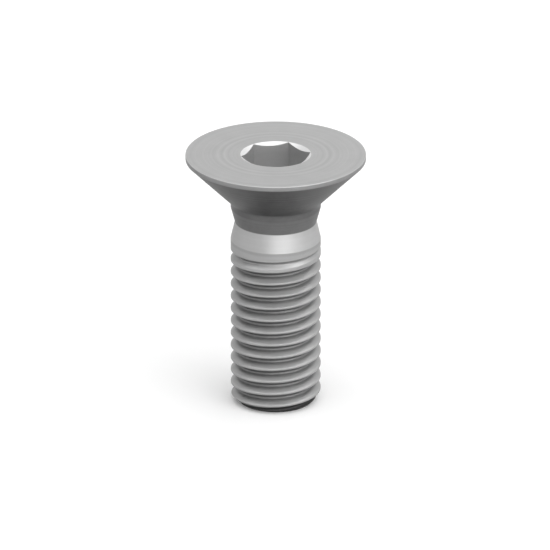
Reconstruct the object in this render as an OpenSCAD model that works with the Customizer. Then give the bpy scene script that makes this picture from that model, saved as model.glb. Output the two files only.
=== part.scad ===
// Countersunk socket screw, M12 x 35, with a 90 degree head and an 8 mm hexagon socket.
// It stands on its tip. The origin is the middle of the head's flat face and +Z points out of it.

/* [Shank] */
// Diameter over the thread crests
thread_d = 12; // [9:0.5:14]
// Distance from one thread crest to the next
thread_pitch = 1.75; // [1:0.25:2.5]
// Overall length, from the head's flat face to the tip
screw_length = 35; // [20:1:120]
// Height over which the thread's groove fades out below the neck
run_out = 2.2; // [0.5:0.1:5]
// Angle between the tip's chamfer and the axis
tip_angle = 45; // [30:1:60]

/* [Head] */
// Diameter over the head's rim
head_d = 24; // [21:0.5:30]
// Height of the straight rim below the flat face
rim_h = 0.6; // [0.2:0.1:1.5]
// Full angle of the countersunk cone
cone_angle = 90; // [80:1:100]
// Radius of the fillet where the cone runs into the collar
fillet_r = 1; // [0.4:0.1:2]

/* [Neck] */
// Height of the straight collar below the fillet
collar_h = 0.35; // [0.1:0.05:2]
// Height of the cone that narrows from the collar to the waist
narrowing_h = 2.1; // [1:0.1:5]
// Height of the cone that widens from the waist to the thread
widening_h = 2.45; // [1:0.1:5]

/* [Socket] */
// Width across the flats of the hexagon key that fits the socket
key_af = 8; // [5:0.5:9]
// Play between the key and the socket, across the flats
key_play = 0.1; // [0.02:0.01:0.2]
// Depth of the socket's flats below the flat face
socket_depth = 4.6; // [3:0.1:5]
// Full angle of the countersink around the socket's mouth
mouth_angle = 120; // [90:5:140]
// Full angle of the cone in the socket's floor
floor_angle = 120; // [110:5:160]

/* [Hidden] */
$fn = 96;
// How far a cut runs past the face that it opens
overcut = 1;

// A metric thread's root lies this share of the pitch inside its crest, and its
// pitch line this share, both measured along the radius.
ROOT_SHARE = 0.61343;
PITCH_LINE_SHARE = 0.32476;
// The groove between two crests is this wide and this deep, as shares of the pitch
GROOVE_WIDTH_SHARE = 0.875;
GROOVE_DEPTH_SHARE = 0.595;
// Angle between a thread's flank and a plane across the axis
FLANK_ANGLE = 30;
// Where the groove fades out it narrows to this share of its width
FADED_WIDTH = 0.45;
// Sections of the groove in one turn
SECTIONS = 30;
// How far the groove's cut runs past the crests
GROOVE_OVERCUT = 0.1;

thread_r = thread_d / 2;
// The waist is turned down to the blank that a thread is rolled on
waist_r = thread_r - PITCH_LINE_SHARE * thread_pitch;
// The tip's flat end is as wide as the thread's root
tip_r = thread_r - ROOT_SHARE * thread_pitch;
tip_chamfer_h = (thread_r - tip_r) / tan(tip_angle);

head_r = head_d / 2;
cone_half = cone_angle / 2;
// Without its fillet the cone would meet the collar at this depth
corner_z = -rim_h - (head_r - thread_r) / tan(cone_half);
// The fillet touches the cone and the collar at this distance from that corner
fillet_reach = fillet_r * tan(cone_half / 2);

// Depths down the neck, in order
collar_z = corner_z - fillet_reach;
narrowing_z = collar_z - collar_h;
waist_z = narrowing_z - narrowing_h;
thread_z = waist_z - widening_h;
chamfer_z = tip_chamfer_h - screw_length;

// Half widths of the groove at the cut's outer edge and at its root
groove_depth = GROOVE_DEPTH_SHARE * thread_pitch;
groove_outer_half = GROOVE_WIDTH_SHARE * thread_pitch / 2 + GROOVE_OVERCUT * tan(FLANK_ANGLE);
groove_root_half = GROOVE_WIDTH_SHARE * thread_pitch / 2 - groove_depth * tan(FLANK_ANGLE);
// The groove's middle starts below the tip and ends below the neck
groove_start_z = -screw_length - 1.5 * thread_pitch;
groove_end_z = thread_z - 0.4 * thread_pitch;
groove_steps = ceil((groove_end_z - groove_start_z) / thread_pitch * SECTIONS);

socket_af = key_af + key_play;
socket_corner_r = socket_af / 2 / cos(30);
mouth_depth = socket_corner_r / tan(mouth_angle / 2);
floor_depth = socket_af / 2 / tan(floor_angle / 2);

// Half of the section from the flat face to the tip, with a sharp corner under the head
module outline() {
    polygon([
        [0, 0],
        [head_r, 0],
        [head_r, -rim_h],
        [thread_r, corner_z],
        [thread_r, narrowing_z],
        [waist_r, waist_z],
        [thread_r, thread_z],
        [thread_r, chamfer_z],
        [tip_r, -screw_length],
        [0, -screw_length],
    ]);
}

// Half of the section of the fillet between the cone and the collar
module fillet() {
    cone_touch = [
        thread_r + fillet_reach * sin(cone_half),
        corner_z + fillet_reach * cos(cone_half),
    ];
    centre = [thread_r + fillet_r, collar_z];
    difference() {
        polygon([[0, cone_touch.y], cone_touch, centre, [0, collar_z]]);
        translate(centre) circle(fillet_r);
    }
}

// Hexagon socket with its flats facing front and back, its floor cone and its countersunk mouth
module socket() {
    translate([0, 0, -socket_depth])
        cylinder(h = socket_depth + overcut, r = socket_corner_r, $fn = 6);
    translate([0, 0, -socket_depth - floor_depth])
        cylinder(h = floor_depth, r1 = 0, r2 = socket_af / 2);
    translate([0, 0, -mouth_depth])
        cylinder(h = mouth_depth, r1 = 0, r2 = socket_corner_r);
}

// How much of its full depth the groove has at a height, from 1 down to 0 below the neck
function groove_share(z) =
    let (left = max(0, min(1, (groove_end_z - z) / run_out)))
    left * left * (3 - 2 * left);

// The four corners of the groove's cut at one step along its helix
function groove_section(step) =
    let (
        z = groove_start_z + step / SECTIONS * thread_pitch,
        turn = step / SECTIONS * 360,
        share = groove_share(z),
        width = FADED_WIDTH + (1 - FADED_WIDTH) * share,
        outer_r = thread_r + GROOVE_OVERCUT,
        root_r = thread_r + GROOVE_OVERCUT / 2 - (groove_depth + GROOVE_OVERCUT / 2) * share
    )
    [for (corner = [
        [outer_r, -groove_outer_half],
        [root_r, -groove_root_half],
        [root_r, groove_root_half],
        [outer_r, groove_outer_half],
    ]) [corner.x * cos(turn), corner.x * sin(turn), z + corner.y * width]];

// Right-hand groove of the thread, as the solid that is cut away
module groove() {
    points = [for (step = [0:groove_steps]) each groove_section(step)];
    sides = [for (step = [0:groove_steps - 1], corner = [0:3])
        let (here = 4 * step, next = (corner + 1) % 4)
        each [
            [here + corner, here + 4 + corner, here + next],
            [here + next, here + 4 + corner, here + 4 + next],
        ]];
    last = 4 * groove_steps;
    polyhedron(points, concat([[0, 1, 2, 3]], sides, [[last + 3, last + 2, last + 1, last]]));
}

module screw() {
    color("silver")
    difference() {
        rotate_extrude() {
            outline();
            fillet();
        }
        socket();
        groove();
    }
}

screw();
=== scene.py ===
"""A countersunk socket screw in satin steel, with its rolled thread, on a pale floor.

Each part of the scene has an operator, and a panel in the 3D view's sidebar lists them.
All sizes are in metres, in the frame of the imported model.
"""

from math import atan2, ceil, cos, hypot, pi, radians, sin, tan

import bmesh
import bpy
from bpy.props import FloatProperty, FloatVectorProperty, IntProperty, PointerProperty
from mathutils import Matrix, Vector


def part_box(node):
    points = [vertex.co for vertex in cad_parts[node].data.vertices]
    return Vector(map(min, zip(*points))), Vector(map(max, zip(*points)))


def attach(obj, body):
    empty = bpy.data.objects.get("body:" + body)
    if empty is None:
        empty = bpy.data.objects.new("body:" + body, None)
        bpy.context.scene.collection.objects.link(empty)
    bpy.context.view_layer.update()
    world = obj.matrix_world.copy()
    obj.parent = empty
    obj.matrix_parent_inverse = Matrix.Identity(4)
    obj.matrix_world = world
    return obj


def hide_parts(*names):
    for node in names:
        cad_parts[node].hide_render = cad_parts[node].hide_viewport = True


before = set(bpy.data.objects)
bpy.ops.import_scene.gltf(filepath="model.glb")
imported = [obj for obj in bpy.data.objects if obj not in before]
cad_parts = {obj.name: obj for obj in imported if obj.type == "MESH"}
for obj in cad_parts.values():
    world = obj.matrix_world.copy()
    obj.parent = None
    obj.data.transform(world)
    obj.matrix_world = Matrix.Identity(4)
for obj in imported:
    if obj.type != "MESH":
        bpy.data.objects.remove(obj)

bl_info = {
    "name": "Countersunk Socket Screw",
    "version": (1, 0, 0),
    "blender": (4, 5, 0),
    "location": "View3D > Sidebar > Screw",
    "description": "Models a countersunk socket screw with a rolled thread and lights it",
    "category": "Add Mesh",
}

SOLID_LOW, SOLID_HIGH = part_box("screw")

# A rolled metric thread, as shares of its pitch: the flat on the crest, the depth of
# the groove and the pitch line's depth below the crest
CREST_SHARE = 0.125
GROOVE_SHARE = 0.6
PITCH_LINE_SHARE = 0.32476
ROOT_SHARE = 0.61343
FLANK_ANGLE = radians(30)
# Where the groove fades out it narrows to this share of its width
FADED_WIDTH = 0.45
# Height of the groove's middle when its fade ends, below the neck, as a share of the pitch
FADE_END_SHARE = 0.4
# Half a hexagon's side, as an angle at its middle
HALF_SIDE = radians(30)
# The cone in the socket's floor starts just inside the flats and ends in a small flat, both
# as shares of the radius before them
BOWL_SHARE = 0.98
BOWL_END_SHARE = 0.03

# Vertices closer than this are one, in a ring and in the whole mesh
RING_GAP = 1e-6
MESH_GAP = 1e-7

# The surfaces outside, from the tip to the face: tone and added roughness. The darker tones are painted
# shade: the tip, the thread, the rim, the narrowing cone, the collar and fillet and the cone under the
# head are darkened as if shade fell on them.
SURFACES_WITH_PAINTED_SHADE = (
    ("tip", 0.46, 0.04),
    ("thread", 0.78, 0.01),
    ("widening cone", 1.0, 0.02),
    ("narrowing cone", 0.38, 0.02),
    ("collar and fillet", 0.32, 0.01),
    ("cone", 0.29, 0.0),
    ("rim", 0.6, 0.0),
    ("face", 0.99, 0.02),
)

# Soft lamps: name, degrees round from the camera and above the horizon, width and height in
# metres, and how bright the lamp itself looks, where 1 is white
LAMPS = (
    ("key", 30, 78, (2.2, 2.2), 1.75),
    ("low_strip", 18, 6, (0.9, 0.3), 1.4),
    ("wide_strip", 25, 4, (2.2, 0.4), 1.1),
    ("front_fill", 45, 36, (0.6, 0.6), 1.2),
)


class ScrewSizes(bpy.types.PropertyGroup):
    """Sizes of the screw"""

    thread_diameter: FloatProperty(
        name="Thread diameter", description="Diameter over the thread crests",
        default=0.012, min=0.009, max=0.014, precision=5, unit="LENGTH")
    thread_pitch: FloatProperty(
        name="Pitch", description="Distance from one thread crest to the next",
        default=0.00175, min=0.001, max=0.0025, precision=5, unit="LENGTH")
    run_out: FloatProperty(
        name="Run-out", description="Height over which the groove fades out below the neck",
        default=0.0022, min=0.0005, max=0.005, precision=5, unit="LENGTH")
    head_diameter: FloatProperty(
        name="Head diameter", description="Diameter over the head's rim",
        default=2 * min(-SOLID_LOW.x, SOLID_HIGH.x), min=0.021, max=0.03, precision=5, unit="LENGTH")
    length: FloatProperty(
        name="Length", description="Overall length, from the flat face to the tip",
        default=SOLID_HIGH.z - SOLID_LOW.z, min=0.02, max=0.12, precision=5, unit="LENGTH")
    rim_height: FloatProperty(
        name="Rim height", description="Height of the straight rim below the flat face",
        default=0.0006, min=0.0002, max=0.0015, precision=5, unit="LENGTH")
    cone_angle: FloatProperty(
        name="Cone angle", description="Full angle of the countersunk cone",
        default=radians(90), min=radians(80), max=radians(100), unit="ROTATION")
    fillet_radius: FloatProperty(
        name="Fillet", description="Radius of the fillet between the cone and the collar",
        default=0.001, min=0.0004, max=0.002, precision=5, unit="LENGTH")
    collar_height: FloatProperty(
        name="Collar", description="Height of the straight collar below the fillet",
        default=0.00035, min=0.0001, max=0.002, precision=5, unit="LENGTH")
    narrowing_height: FloatProperty(
        name="Narrowing", description="Height of the cone from the collar to the waist",
        default=0.0021, min=0.001, max=0.005, precision=5, unit="LENGTH")
    widening_height: FloatProperty(
        name="Widening", description="Height of the cone from the waist to the thread",
        default=0.00245, min=0.001, max=0.005, precision=5, unit="LENGTH")
    tip_angle: FloatProperty(
        name="Tip angle", description="Angle between the tip's chamfer and the axis",
        default=radians(45), min=radians(30), max=radians(60), unit="ROTATION")
    socket_width: FloatProperty(
        name="Socket width", description="Width across the flats of the hexagon socket",
        default=0.0081, min=0.005, max=0.009, precision=5, unit="LENGTH")
    socket_depth: FloatProperty(
        name="Socket depth", description="Depth of the socket's flats below the flat face",
        default=0.0046, min=0.003, max=0.005, precision=5, unit="LENGTH")
    mouth_angle: FloatProperty(
        name="Mouth angle", description="Full angle of the countersink round the socket's mouth",
        default=radians(120), min=radians(90), max=radians(140), unit="ROTATION")
    floor_angle: FloatProperty(
        name="Floor angle", description="Full angle of the cone in the socket's floor",
        default=radians(120), min=radians(110), max=radians(160), unit="ROTATION")
    edge_radius: FloatProperty(
        name="Edge radius", description="Radius that breaks the edges of the rim and the neck",
        default=0.0001, min=0.00002, max=0.0002, precision=5, unit="LENGTH")
    sides: IntProperty(
        name="Sides", description="Sides of each round, a multiple of six",
        default=180, min=48, max=240)


class SteelLook(bpy.types.PropertyGroup):
    """Colour and finish of the steel"""

    colour: FloatVectorProperty(
        name="Colour", description="Colour of the bare steel", subtype="COLOR",
        default=(0.5, 0.5, 0.5), min=0, max=1)
    metallic: FloatProperty(
        name="Metallic", description="Share of the finish that shines as metal",
        default=0.5, min=0, max=1, subtype="FACTOR")
    roughness: FloatProperty(
        name="Roughness", description="Roughness of the smoothest satin surfaces",
        default=0.34, min=0.1, max=0.6, subtype="FACTOR")
    stretch: FloatProperty(
        name="Stretch", description="How far the turning marks stretch the highlights across them",
        default=0.2, min=0, max=1, subtype="FACTOR")
    mark_depth: FloatProperty(
        name="Mark depth", description="Depth of the fine turning marks",
        default=0.000004, min=0, max=0.00002, precision=6, unit="LENGTH")
    root_shade: FloatProperty(
        name="Root shade", description="How much darker the thread's roots are",
        default=0.3, min=0, max=0.8, subtype="FACTOR")


class StageLook(bpy.types.PropertyGroup):
    """Camera, floor and light"""

    azimuth: FloatProperty(
        name="Azimuth", description="Turn of the camera about the screw",
        default=radians(-8.8), unit="ROTATION")
    elevation: FloatProperty(
        name="Elevation", description="Height of the camera above the horizon",
        default=radians(21.93), unit="ROTATION")
    view_width: FloatProperty(
        name="View width", description="Width of the picture at the screw",
        default=0.07316, precision=5, unit="LENGTH")
    aim_depth: FloatProperty(
        name="Aim depth", description="Point of the axis that the camera aims at, below the face",
        default=0.01728, precision=5, unit="LENGTH")
    aim_left: FloatProperty(
        name="Aim left", description="How far the camera aims to the left of the axis",
        default=0.0001, precision=5, unit="LENGTH")
    lens: FloatProperty(
        name="Lens", description="Focal length, long enough for a view with no perspective",
        default=1000, min=50, max=5000)
    floor_colour: FloatVectorProperty(
        name="Floor colour", description="Colour of the pale floor", subtype="COLOR",
        default=(0.9, 0.9, 0.9), min=0, max=1)
    floor_glow: FloatProperty(
        name="Floor glow", description="Light of the floor's own near the screw, which whitens it",
        default=0.12, min=0, max=1)
    bounce: FloatProperty(
        name="Bounce", description="Share of light that the floor throws back on the screw",
        default=0.0, min=0, max=1, subtype="FACTOR")
    sky_fill: FloatProperty(
        name="Sky fill", description="Strength of the background as light on the screw",
        default=0.08, min=0, max=1)
    ceiling: FloatProperty(
        name="Ceiling", description="Strength of the studio's ceiling, as metal mirrors it",
        default=0.15, min=0, max=1)


def new_point(name, point):
    """A new piece whose mesh is one vertex, selected in edit mode."""
    if bpy.context.object and bpy.context.object.mode != "OBJECT":
        bpy.ops.object.mode_set(mode="OBJECT")
    bpy.ops.object.select_all(action="DESELECT")
    bpy.ops.mesh.primitive_plane_add(size=0.001)
    piece = bpy.context.object
    piece.name = name
    piece.data.name = name
    bpy.ops.object.mode_set(mode="EDIT")
    bpy.ops.mesh.select_mode(type="VERT")
    bpy.ops.mesh.select_all(action="SELECT")
    bpy.ops.mesh.merge(type="CENTER")
    bpy.ops.transform.translate(value=point)
    return piece


def draw_line(points):
    """Extrudes the selected vertex from point to point."""
    for start, end in zip(points, points[1:]):
        bpy.ops.mesh.extrude_region_move(
            TRANSFORM_OT_translate={"value": Vector(end) - Vector(start)})


def arc(centre, radius, start, end, steps):
    """Points on an arc in the plane of radius and height, from one angle to another."""
    turns = [start + (end - start) * step / steps for step in range(steps + 1)]
    return [(centre[0] + radius * cos(turn), centre[1] + radius * sin(turn)) for turn in turns]


def groove_points(sizes):
    """One pitch of the thread from crest to crest, as (radius, height) with the groove in the middle."""
    pitch = sizes.thread_pitch
    crest = sizes.thread_diameter / 2
    corner = 0.03 * pitch
    half_groove = (1 - CREST_SHARE) / 2 * pitch
    # The flanks would meet at this depth, and the root's arc touches both
    sharp_depth = half_groove / tan(FLANK_ANGLE)
    root_radius = sharp_depth - GROOVE_SHARE * pitch
    root_centre = crest - sharp_depth + 2 * root_radius
    # A corner's arc starts this far from the crest's sharp edge
    corner_reach = corner * tan((pi / 2 - FLANK_ANGLE) / 2)
    corner_height = half_groove + corner_reach
    lower = arc((crest - corner, -corner_height), corner, 0, radians(60), 3)
    root = arc((root_centre, 0), root_radius, radians(240), radians(120), 6)
    upper = arc((crest - corner, corner_height), corner, radians(-60), 0, 3)
    return lower + root + upper + [(crest, pitch - corner_height)]


def apply_modifier(piece, kind, **settings):
    """Adds a modifier with these settings and applies it."""
    bpy.ops.object.mode_set(mode="OBJECT")
    bpy.context.view_layer.objects.active = piece
    modifier = piece.modifiers.new(kind.title(), kind)
    for setting, value in settings.items():
        setattr(modifier, setting, value)
    bpy.ops.object.modifier_apply(modifier=modifier.name)


def select_where(piece, wanted):
    """Selects the vertices for which the test holds, with the edges between them."""
    bpy.ops.object.mode_set(mode="EDIT")
    bpy.ops.mesh.select_mode(type="VERT")
    bpy.ops.mesh.select_all(action="DESELECT")
    mesh = bmesh.from_edit_mesh(piece.data)
    for vertex in mesh.verts:
        vertex.select_set(wanted(vertex.co))
    mesh.select_flush_mode()
    bpy.ops.mesh.select_mode(type="EDGE")
    bmesh.update_edit_mesh(piece.data)


class Neck:
    """Heights and radii of the neck and tip, worked out from the sizes."""

    def __init__(self, sizes):
        self.thread_r = sizes.thread_diameter / 2
        self.head_r = sizes.head_diameter / 2
        self.waist_r = self.thread_r - PITCH_LINE_SHARE * sizes.thread_pitch
        self.tip_r = self.thread_r - ROOT_SHARE * sizes.thread_pitch
        self.tip_top = (self.thread_r - self.tip_r) / tan(sizes.tip_angle) - sizes.length
        half_cone = sizes.cone_angle / 2
        self.corner_z = -sizes.rim_height - (self.head_r - self.thread_r) / tan(half_cone)
        self.collar_z = self.corner_z - sizes.fillet_radius * tan(half_cone / 2)
        self.narrowing_z = self.collar_z - sizes.collar_height
        self.waist_z = self.narrowing_z - sizes.narrowing_height
        self.thread_z = self.waist_z - sizes.widening_height
        # The thread is cut off this far below the edge of the neck, to leave room for its rounding
        self.thread_top = self.thread_z - 2 * sizes.edge_radius


def fade_thread(piece, sizes, neck):
    """Lifts the groove towards the neck until it is gone."""
    pitch = sizes.thread_pitch
    fade_end = neck.thread_z - FADE_END_SHARE * pitch
    fade_start = fade_end - sizes.run_out
    for vertex in piece.data.vertices:
        x, y, z = vertex.co
        turn = atan2(y, x) / (2 * pi)
        # The middle of the groove at this angle, nearest to the vertex
        turns_up = round((z - neck.first_groove) / pitch - turn) + turn
        middle = neck.first_groove + turns_up * pitch
        left = min(1, max(0, (fade_end - middle) / (fade_end - fade_start)))
        left = left * left * (3 - 2 * left)
        radius = hypot(x, y)
        wanted = neck.thread_r - (neck.thread_r - radius) * left
        height = middle + (z - middle) * (FADED_WIDTH + (1 - FADED_WIDTH) * left)
        vertex.co = (x * wanted / radius, y * wanted / radius, height)


def roll_thread(sizes, neck):
    """The threaded rod from below the tip to just below the neck, where it is left open."""
    pitch = sizes.thread_pitch
    neck.first_groove = -sizes.length - 1.5 * pitch
    turns = ceil((neck.thread_z - neck.first_groove) / pitch) + 1
    points = [(radius, 0, neck.first_groove + height) for radius, height in groove_points(sizes)]
    piece = new_point("countersunk_screw", points[0])
    draw_line(points)
    apply_modifier(piece, "SCREW", axis="Z", angle=2 * pi, screw_offset=pitch,
                   iterations=turns, steps=sizes.sides, render_steps=sizes.sides)
    bpy.ops.object.mode_set(mode="EDIT")
    bpy.ops.mesh.select_all(action="SELECT")
    bpy.ops.mesh.remove_doubles(threshold=RING_GAP)
    bpy.ops.object.mode_set(mode="OBJECT")
    fade_thread(piece, sizes, neck)
    bpy.ops.object.mode_set(mode="EDIT")
    for height, side in ((-sizes.length - pitch / 4, -1), (neck.thread_top, 1)):
        bpy.ops.mesh.select_all(action="SELECT")
        bpy.ops.mesh.bisect(plane_co=(0, 0, height), plane_no=(0, 0, side), clear_outer=True,
                            use_fill=side < 0, threshold=MESH_GAP)
    return piece


def settle_ring(piece, sizes, neck):
    """Gives the open ring at the thread's top one vertex on each column of the mesh."""
    column = 2 * pi / sizes.sides
    select_where(piece, lambda point: abs(point.z - neck.thread_top) < RING_GAP)
    move_selected(piece, lambda angle: (round(angle / column) * column, neck.thread_r, neck.thread_top))
    bpy.ops.mesh.remove_doubles(threshold=RING_GAP)


def rounded(corners):
    """Points along corners given as (radius, height, edge radius), each corner rounded by its arc."""
    line = [corners[0][:2]]
    for before, corner, after in zip(corners, corners[1:], corners[2:]):
        here = Vector(corner[:2])
        back = (Vector(before[:2]) - here).normalized()
        on = (Vector(after[:2]) - here).normalized()
        turn = pi - back.angle(on)
        reach = corner[2] * tan(turn / 2)
        steps = ceil(turn / radians(12))
        middle = (back + on).normalized() * (corner[2] / cos(turn / 2))
        for step in range(steps + 1):
            share = step / steps
            start = back * reach - middle
            angle = start.angle_signed(on * reach - middle) * share
            spoke = Vector((start.x * cos(angle) + start.y * sin(angle),
                            start.y * cos(angle) - start.x * sin(angle)))
            line.append(tuple(here + middle + spoke))
    line.append(corners[-1][:2])
    return line


def raise_rings(line):
    """Extrudes the selected ring of edges along a line of (radius, height) points."""
    for (radius, height), (next_radius, next_height) in zip(line, line[1:]):
        bpy.ops.mesh.extrude_edges_move(
            TRANSFORM_OT_translate={"value": (0, 0, next_height - height)})
        scale = next_radius / radius
        bpy.ops.transform.resize(value=(scale, scale, 1), center_override=(0, 0, 0))


def move_selected(piece, place):
    """Moves each selected vertex to the angle, radius and height that place gives for its angle."""
    mesh = bmesh.from_edit_mesh(piece.data)
    for vertex in mesh.verts:
        if vertex.select:
            angle, radius, height = place(atan2(vertex.co.y, vertex.co.x))
            vertex.co = (radius * cos(angle), radius * sin(angle), height)
    bmesh.update_edit_mesh(piece.data)


def press_socket(piece, sizes, mouth_r):
    """Presses the hexagon socket into the face, from the selected ring of its mouth."""
    flat_r = sizes.socket_width / 2
    floor_z = -sizes.socket_depth

    def on_hexagon(angle):
        # Two of the flats face front and back
        off_flat = angle % (2 * HALF_SIDE) - HALF_SIDE
        radius = flat_r / cos(off_flat)
        return angle, radius, -(mouth_r - radius) / tan(sizes.mouth_angle / 2)

    bpy.ops.mesh.extrude_edges_move()
    move_selected(piece, on_hexagon)
    bpy.ops.mesh.extrude_edges_move()
    bpy.ops.transform.resize(value=(1, 1, 0), center_override=(0, 0, floor_z))
    bpy.ops.mesh.extrude_edges_move()
    bowl_r = BOWL_SHARE * flat_r
    move_selected(piece, lambda angle: (angle, bowl_r, floor_z))
    bowl_depth = bowl_r / tan(sizes.floor_angle / 2)
    raise_rings([(bowl_r, floor_z),
                 (BOWL_END_SHARE * bowl_r, floor_z - (1 - BOWL_END_SHARE) * bowl_depth)])
    bpy.ops.mesh.edge_face_add()


def cut_tip(piece, sizes, neck):
    """Cuts the tip's flat end and chamfer with a cone that opens upwards."""
    bpy.ops.mesh.select_all(action="SELECT")
    bpy.ops.mesh.normals_make_consistent(inside=False)
    depth = sizes.length + 0.01
    wide = neck.tip_r + depth * tan(sizes.tip_angle)
    bpy.ops.object.mode_set(mode="OBJECT")
    bpy.ops.object.select_all(action="DESELECT")
    bpy.ops.mesh.primitive_cone_add(
        vertices=sizes.sides, radius1=neck.tip_r, radius2=wide, depth=depth,
        location=(0, 0, depth / 2 - sizes.length), rotation=(0, 0, pi / sizes.sides))
    cutter = bpy.context.object
    apply_modifier(piece, "BOOLEAN", operation="INTERSECT", object=cutter, solver="EXACT")
    bpy.data.objects.remove(cutter)


def finish_mesh(piece):
    """Closes and smooths the mesh and keeps its true edges sharp."""
    bpy.ops.object.select_all(action="DESELECT")
    piece.select_set(True)
    bpy.context.view_layer.objects.active = piece
    bpy.ops.object.mode_set(mode="EDIT")
    bpy.ops.mesh.select_all(action="SELECT")
    bpy.ops.mesh.remove_doubles(threshold=MESH_GAP)
    bpy.ops.mesh.dissolve_degenerate(threshold=1e-8)
    bpy.ops.mesh.normals_make_consistent(inside=False)
    bpy.ops.object.mode_set(mode="OBJECT")
    bpy.ops.object.shade_smooth_by_angle(angle=radians(25))


class SCREW_OT_make_screw(bpy.types.Operator):
    """Model the screw with its head, socket, neck and rolled thread"""

    bl_idname = "screw.make_screw"
    bl_label = "Make Screw"

    def execute(self, context):
        sizes = context.scene.screw_sizes
        neck = Neck(sizes)
        piece = roll_thread(sizes, neck)
        settle_ring(piece, sizes, neck)
        edge = sizes.edge_radius
        mouth_r = sizes.socket_width / 2 / cos(HALF_SIDE)
        raise_rings(rounded([
            (neck.thread_r, neck.thread_top, 0),
            (neck.thread_r, neck.thread_z, edge),
            (neck.waist_r, neck.waist_z, edge),
            (neck.thread_r, neck.narrowing_z, edge),
            (neck.thread_r, neck.corner_z, sizes.fillet_radius),
            (neck.head_r, -sizes.rim_height, edge),
            (neck.head_r, 0, edge),
            (mouth_r, 0, 0),
        ]))
        press_socket(piece, sizes, mouth_r)
        cut_tip(piece, sizes, neck)
        finish_mesh(piece)
        piece.data.materials.clear()
        piece.data.materials.append(steel_material(context.scene.steel_look, sizes, neck))
        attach(piece, "root")
        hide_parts("screw")
        return {"FINISHED"}


class Recipe:
    """Builds up a material or a world node by node."""

    def __init__(self, owner):
        self.owner = owner
        self.owner.use_nodes = True
        self.tree = owner.node_tree

    def feed(self, socket, value):
        """Links the socket to another one, or sets its value."""
        if isinstance(value, bpy.types.NodeSocket):
            self.tree.links.new(value, socket)
        else:
            socket.default_value = value

    def add(self, kind, label, inputs, **settings):
        """Adds a node with these settings and feeds its named inputs."""
        node = self.tree.nodes.new(kind)
        node.label = label
        for setting, value in settings.items():
            setattr(node, setting, value)
        for name, value in inputs.items():
            self.feed(node.inputs[name], value)
        return node

    def maths(self, label, operation, first, second=0.0, third=0.0):
        """The result of a Math node."""
        return self.add("ShaderNodeMath", label, {0: first, 1: second, 2: third},
                        operation=operation).outputs[0]

    def times(self, label, *values):
        """The product of all the values."""
        result = values[0]
        for value in values[1:]:
            result = self.maths(label, "MULTIPLY", result, value)
        return result

    def total(self, label, *values):
        """The sum of all the values."""
        result = values[0]
        for value in values[1:]:
            result = self.maths(label, "ADD", result, value)
        return result

    def ease(self, label, value, low, high, low_result=0.0, high_result=1.0):
        """Runs smoothly from one result at the low value to the other at the high value."""
        return self.add("ShaderNodeMapRange", label, {
            "Value": value, "From Min": low, "From Max": high,
            "To Min": low_result, "To Max": high_result,
        }, interpolation_type="SMOOTHSTEP").outputs[0]

    def bands(self, label, value, low, high, levels):
        """One level for each band of the value. A level is (top of its band, result)."""
        ramp = self.add("ShaderNodeValToRGB", label, {
            0: self.add("ShaderNodeMapRange", label, {
                "Value": value, "From Min": low, "From Max": high}).outputs[0],
        })
        stops = ramp.color_ramp.elements
        stops.remove(stops[1])
        stops[0].position = 0
        stops[0].color = (*[levels[0][1]] * 3, 1)
        for (top, result), (_, next_result) in zip(levels, levels[1:]):
            share = (top - low) / (high - low)
            for position, level in ((share - 0.001, result), (share + 0.001, next_result)):
                stops.new(min(1, max(0, position))).color = (level, level, level, 1)
        return ramp.outputs["Color"]

    def rings(self, label, along, width, detail):
        """Marks about this wide that run round the axis, from 0 to 1, with finer ones as detail."""
        return self.add("ShaderNodeTexNoise", label, {
            "W": along, "Scale": 1 / width, "Detail": detail, "Roughness": 0.5,
        }, noise_dimensions="1D").outputs["Fac"]

    def clouds(self, label, place, width, detail=3.0):
        """Soft patches about this wide, from 0 to 1, with finer ones as detail."""
        return self.add("ShaderNodeTexNoise", label, {
            "Vector": place, "Scale": 1 / width, "Detail": detail, "Roughness": 0.55,
        }).outputs["Fac"]

    def swing(self, label, pattern, amount):
        """A pattern from 0 to 1 as a change of plus or minus this amount, about 0."""
        return self.maths(label, "MULTIPLY_ADD", pattern, 2 * amount, -amount)

    def bump(self, label, pattern, depth, under=None):
        """A bump of this depth in metres, laid over another one."""
        inputs = {"Height": pattern, "Distance": depth}
        if under:
            inputs["Normal"] = under
        return self.add("ShaderNodeBump", label, inputs).outputs["Normal"]


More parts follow.
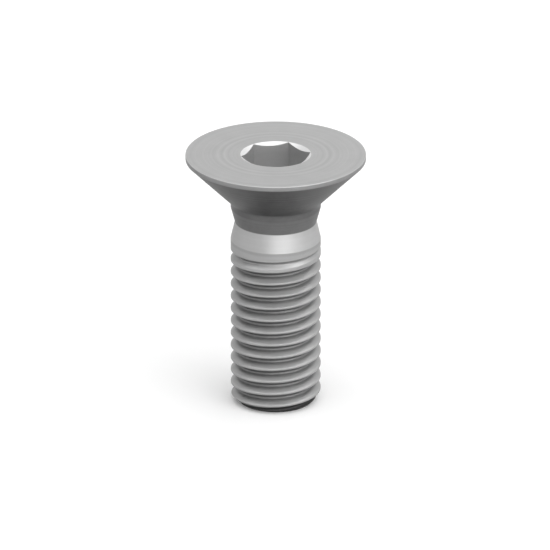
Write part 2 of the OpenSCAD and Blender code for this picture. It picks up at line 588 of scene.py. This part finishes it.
def steel_material(look, sizes, neck):
    """Satin steel with turned, forged and rolled surfaces and brighter edges, with painted shade on the
    darker surfaces outside and in the socket, and a painted highlight round the socket's mouth.
    """
    steel = Recipe(bpy.data.materials.new("satin_steel"))
    shader = steel.tree.nodes["Principled BSDF"]
    place = steel.add("ShaderNodeTexCoord", "place", {}).outputs["Object"]
    height = steel.add("ShaderNodeSeparateXYZ", "axes", {0: place}).outputs["Z"]
    flattened = steel.add("ShaderNodeVectorMath", "flattened", {0: place, 1: (1, 1, 0)},
                          operation="MULTIPLY").outputs[0]
    radius = steel.add("ShaderNodeVectorMath", "radius", {0: flattened},
                       operation="LENGTH").outputs["Value"]

    # Where each kind of surface lies, from 0 to 1
    thread = steel.ease("thread", height, neck.thread_z - 0.0006, neck.thread_z - 0.0002, 1, 0)
    mouth_r = sizes.socket_width / 2 / cos(HALF_SIDE)
    bore = steel.times("socket",
                       steel.ease("inside the mouth", radius, mouth_r, mouth_r + 0.00004, 1, 0),
                       steel.ease("in the head", height, -0.012, -0.01))
    # The mouth's countersink rises outwards, and the flats hang below it
    above_flats = steel.maths("rise to the face", "MULTIPLY_ADD", radius,
                              -1 / tan(sizes.mouth_angle / 2), mouth_r / tan(sizes.mouth_angle / 2))
    above_flats = steel.maths("above the flats", "ADD", above_flats, height)
    mouth = steel.times("mouth", bore, steel.ease("countersink", above_flats, -0.00005, -0.00001))
    forged = steel.maths("forged", "SUBTRACT", bore, mouth)
    crest = steel.times("crests", thread, steel.ease(
        "near the crests", radius, neck.thread_r - 0.0003, neck.thread_r - 0.00004))
    root = steel.times("roots", thread, steel.ease(
        "near the roots", radius, neck.tip_r + 0.0001, neck.tip_r + 0.0007, 1, 0))
    worn_low = steel.ease("rim's lower edge", height, -sizes.rim_height - 0.00005,
                          -sizes.rim_height + 0.00012, 1, 0)
    worn_high = steel.ease("rim's upper edge", height, -0.00014, -0.00004)
    edge = steel.times("edges", steel.total("both edges", worn_low, worn_high), steel.ease(
        "near the rim", radius, neck.head_r - 0.00018, neck.head_r - 0.00006))

    # Marks of the lathe run round the axis, and those of rolling follow the thread
    along = steel.total("along the section", radius, steel.times(
        "height of turned parts", height, steel.maths("turned", "SUBTRACT", 1.0, thread)))
    faced = steel.ease("the faced top", height, -sizes.rim_height, -0.0001)
    lathe = steel.maths("fainter below the face", "MULTIPLY_ADD", faced, 0.5, 0.5)
    fine_rings = steel.rings("fine marks", along, 0.00018, 0.0)
    broad_rings = steel.rings("broad marks", along, 0.0005, 1.0)
    patches = steel.clouds("patches", place, 0.0031, 1.0)
    grain = steel.clouds("grain", place, 0.0006, 0.5)

    outside = steel.maths("outside the socket", "SUBTRACT", 1.0, bore)
    low, high = -sizes.length, 0.0001
    tops = (neck.tip_top, neck.thread_z, neck.waist_z, neck.narrowing_z, neck.corner_z,
            -sizes.rim_height, -0.00003, high)
    # Painted shade: these bands darken the tip, the thread, the rim, the narrowing cone, the collar and
    # fillet and the cone under the head below the face's tone.
    tone = steel.times("outside tones and painted shade", outside, steel.bands(
        "tones", height, low, high, [(top, surface[1]) for top, surface in zip(tops, SURFACES_WITH_PAINTED_SHADE)]))
    rough = steel.times("rougher outside", outside, steel.bands(
        "roughnesses", height, low, high, [(top, surface[2]) for top, surface in zip(tops, SURFACES_WITH_PAINTED_SHADE)]))

    tone = steel.total(
        "all tones", tone,
        steel.swing("patchy tone", patches, 0.05),
        steel.swing("grainy tone", grain, 0.02),
        steel.times("ringed tone", steel.swing("rings", broad_rings, 0.09), lathe),
        # Painted highlight: the countersink round the socket's mouth is painted far brighter than the
        # face.
        steel.times("painted highlight in the mouth", mouth, 1.4),
        # The socket's walls and floor are a little darker: partly the forged finish, partly painted
        # shade in the recess.
        steel.times("socket tone and painted shade", forged, 0.9),
        steel.times("bright crests", crest, 0.1),
        steel.times("bright edges", edge, 0.12),
        steel.times("dark roots", root, -look.root_shade))
    colour = steel.add("ShaderNodeVectorMath", "colour", {0: tone, 1: look.colour},
                       operation="MULTIPLY").outputs[0]
    steel.feed(shader.inputs["Base Color"], colour)
    rough = steel.total(
        "all roughnesses", rough, look.roughness,
        steel.swing("patchy roughness", patches, 0.04),
        steel.swing("grainy roughness", grain, 0.03),
        steel.times("ringed roughness", steel.swing("rings", broad_rings, 0.04), lathe),
        steel.times("rough socket", forged, 0.06),
        steel.times("rough roots", root, 0.06))
    steel.feed(shader.inputs["Roughness"], rough)

    # The socket is forged, with no marks of the lathe and a coarser grain
    turned = steel.maths("not forged", "SUBTRACT", 1.0, forged)
    normal = steel.bump("fine turning", steel.times("fine", fine_rings, turned, faced),
                        look.mark_depth)
    normal = steel.bump("broad turning", steel.times("broad", broad_rings, turned, lathe),
                        3 * look.mark_depth, normal)
    normal = steel.bump("forging", steel.times("coarse", steel.clouds("scale", place, 0.0007), forged),
                        8 * look.mark_depth, normal)
    normal = steel.bump("satin grain", grain, look.mark_depth / 2, normal)
    steel.feed(shader.inputs["Normal"], normal)

    steel.feed(shader.inputs["Metallic"], look.metallic)
    steel.feed(shader.inputs["Specular IOR Level"], 0.0)
    steel.feed(shader.inputs["Anisotropic"], look.stretch)
    tangent = steel.add("ShaderNodeTangent", "round the axis", {}, direction_type="RADIAL", axis="Z")
    steel.feed(shader.inputs["Tangent"], tangent.outputs[0])
    return steel.owner


def seen_rays(recipe):
    """1 for the rays that show the floor or the background to the camera, also by way of metal."""
    rays = recipe.add("ShaderNodeLightPath", "rays", {}).outputs
    seen = recipe.maths("seen or mirrored", "MAXIMUM", rays["Is Camera Ray"], rays["Is Glossy Ray"])
    return recipe.maths("or through glass", "MAXIMUM", seen, rays["Is Transmission Ray"])


def floor_material(look):
    """A pale floor that keeps the shadow and throws little light back up."""
    pale = Recipe(bpy.data.materials.new("pale_floor"))
    place = pale.add("ShaderNodeTexCoord", "place", {}).outputs["Object"]
    tone = pale.maths("tone", "MULTIPLY_ADD", pale.clouds("patches", place, 0.02), 0.004, 0.998)
    colour = pale.add("ShaderNodeVectorMath", "colour", {0: tone, 1: look.floor_colour},
                      operation="MULTIPLY").outputs[0]
    lit = pale.add("ShaderNodeBsdfDiffuse", "lit floor", {"Color": colour})
    # Far from the screw and its shadow, where the lamps reach less, the floor glows by itself
    away = pale.add("ShaderNodeVectorMath", "away from the screw", {0: place},
                    operation="LENGTH").outputs["Value"]
    glow = pale.add("ShaderNodeEmission", "white page", {
        "Color": (1, 1, 1, 1), "Strength": pale.ease("glow", away, 0.15, 1.0, look.floor_glow, 1.0)})
    shown = pale.add("ShaderNodeAddShader", "shown floor", {0: lit.outputs[0], 1: glow.outputs[0]})
    dim = pale.add("ShaderNodeBsdfDiffuse", "dim floor", {
        "Color": (look.bounce, look.bounce, look.bounce, 1)})
    mix = pale.add("ShaderNodeMixShader", "floor", {
        0: seen_rays(pale), 1: dim.outputs[0], 2: shown.outputs[0]})
    pale.tree.nodes.remove(pale.tree.nodes["Principled BSDF"])
    pale.feed(pale.tree.nodes["Material Output"].inputs["Surface"], mix.outputs[0])
    return pale.owner


def add_lamp(name, azimuth, elevation, size, glow, aim):
    """A soft lamp one metre from the aim, whose own surface looks as bright as its glow."""
    bpy.ops.object.light_add(type="AREA")
    lamp = bpy.context.object
    lamp.name = name
    lamp.data.shape = "RECTANGLE"
    lamp.data.size, lamp.data.size_y = size
    lamp.data.energy = glow * pi * size[0] * size[1]
    back = Vector((sin(azimuth) * cos(elevation), -cos(azimuth) * cos(elevation), sin(elevation)))
    lamp.location = aim + back
    lamp.rotation_euler = (-back).to_track_quat("-Z", "Y").to_euler()
    return lamp


def studio_world(look):
    """A studio with white walls and a darker ceiling, which lights the screw only a little."""
    world = bpy.data.worlds.new("studio")
    world.use_nodes = True
    studio = Recipe(world)
    direction = studio.add("ShaderNodeTexCoord", "direction", {}).outputs["Generated"]
    rise = studio.add("ShaderNodeSeparateXYZ", "rise", {0: direction}).outputs["Z"]
    shown = studio.times("shown", seen_rays(studio),
                         studio.ease("ceiling", rise, 0.45, 0.9, 1, look.ceiling))
    strength = studio.maths("strength", "MAXIMUM", shown, look.sky_fill)
    studio.feed(studio.tree.nodes["Background"].inputs["Strength"], strength)
    studio.feed(studio.tree.nodes["Background"].inputs["Color"], (1, 1, 1, 1))
    return world


class SCREW_OT_make_stage(bpy.types.Operator):
    """Set up the floor, the lamps, the background and the camera"""

    bl_idname = "screw.make_stage"
    bl_label = "Make Stage"

    def execute(self, context):
        look = context.scene.stage_look
        length = context.scene.screw_sizes.length
        bpy.ops.object.select_all(action="DESELECT")
        bpy.ops.mesh.primitive_circle_add(vertices=64, radius=3, fill_type="NGON",
                                          location=(0, 0, -length))
        bpy.ops.object.transform_apply(location=True)
        ground = bpy.context.object
        ground.name = "floor"
        ground.data.materials.append(floor_material(look))

        aim = Vector((0, 0, -look.aim_depth))
        for name, turn, elevation, size, glow in LAMPS:
            add_lamp(name, look.azimuth + radians(turn), radians(elevation), size, glow, aim)
        context.scene.world = studio_world(look)

        back = Vector((sin(look.azimuth) * cos(look.elevation),
                       -cos(look.azimuth) * cos(look.elevation), sin(look.elevation)))
        right = Vector((cos(look.azimuth), sin(look.azimuth), 0))
        bpy.ops.object.camera_add()
        camera = bpy.context.object
        camera.name = "camera"
        camera.data.lens = look.lens
        camera.data.sensor_width = 36
        distance = look.view_width * look.lens / camera.data.sensor_width
        camera.data.clip_start = distance / 10
        camera.data.clip_end = distance * 10
        camera.location = aim - right * look.aim_left + back * distance
        camera.rotation_euler = (-back).to_track_quat("-Z", "Y").to_euler()
        context.scene.camera = camera
        context.scene.view_settings.view_transform = "Standard"
        return {"FINISHED"}


class SCREW_PT_panel(bpy.types.Panel):
    """Lists the steps that make the screw and its stage"""

    bl_label = "Countersunk Socket Screw"
    bl_idname = "SCREW_PT_panel"
    bl_space_type = "VIEW_3D"
    bl_region_type = "UI"
    bl_category = "Screw"

    def draw(self, context):
        layout = self.layout
        for group in (context.scene.screw_sizes, context.scene.steel_look,
                      context.scene.stage_look):
            box = layout.box()
            for name in group.__annotations__:
                box.prop(group, name)
        layout.operator(SCREW_OT_make_screw.bl_idname)
        layout.operator(SCREW_OT_make_stage.bl_idname)


CLASSES = (ScrewSizes, SteelLook, StageLook, SCREW_OT_make_screw, SCREW_OT_make_stage,
           SCREW_PT_panel)


def register():
    for cls in CLASSES:
        bpy.utils.register_class(cls)
    bpy.types.Scene.screw_sizes = PointerProperty(type=ScrewSizes)
    bpy.types.Scene.steel_look = PointerProperty(type=SteelLook)
    bpy.types.Scene.stage_look = PointerProperty(type=StageLook)


def unregister():
    del bpy.types.Scene.stage_look
    del bpy.types.Scene.steel_look
    del bpy.types.Scene.screw_sizes
    for cls in reversed(CLASSES):
        bpy.utils.unregister_class(cls)


def main():
    """Registers the classes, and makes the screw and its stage."""
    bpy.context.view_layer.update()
    register()
    bpy.ops.screw.make_screw()
    bpy.ops.screw.make_stage()


if __name__ == "__main__":
    main()
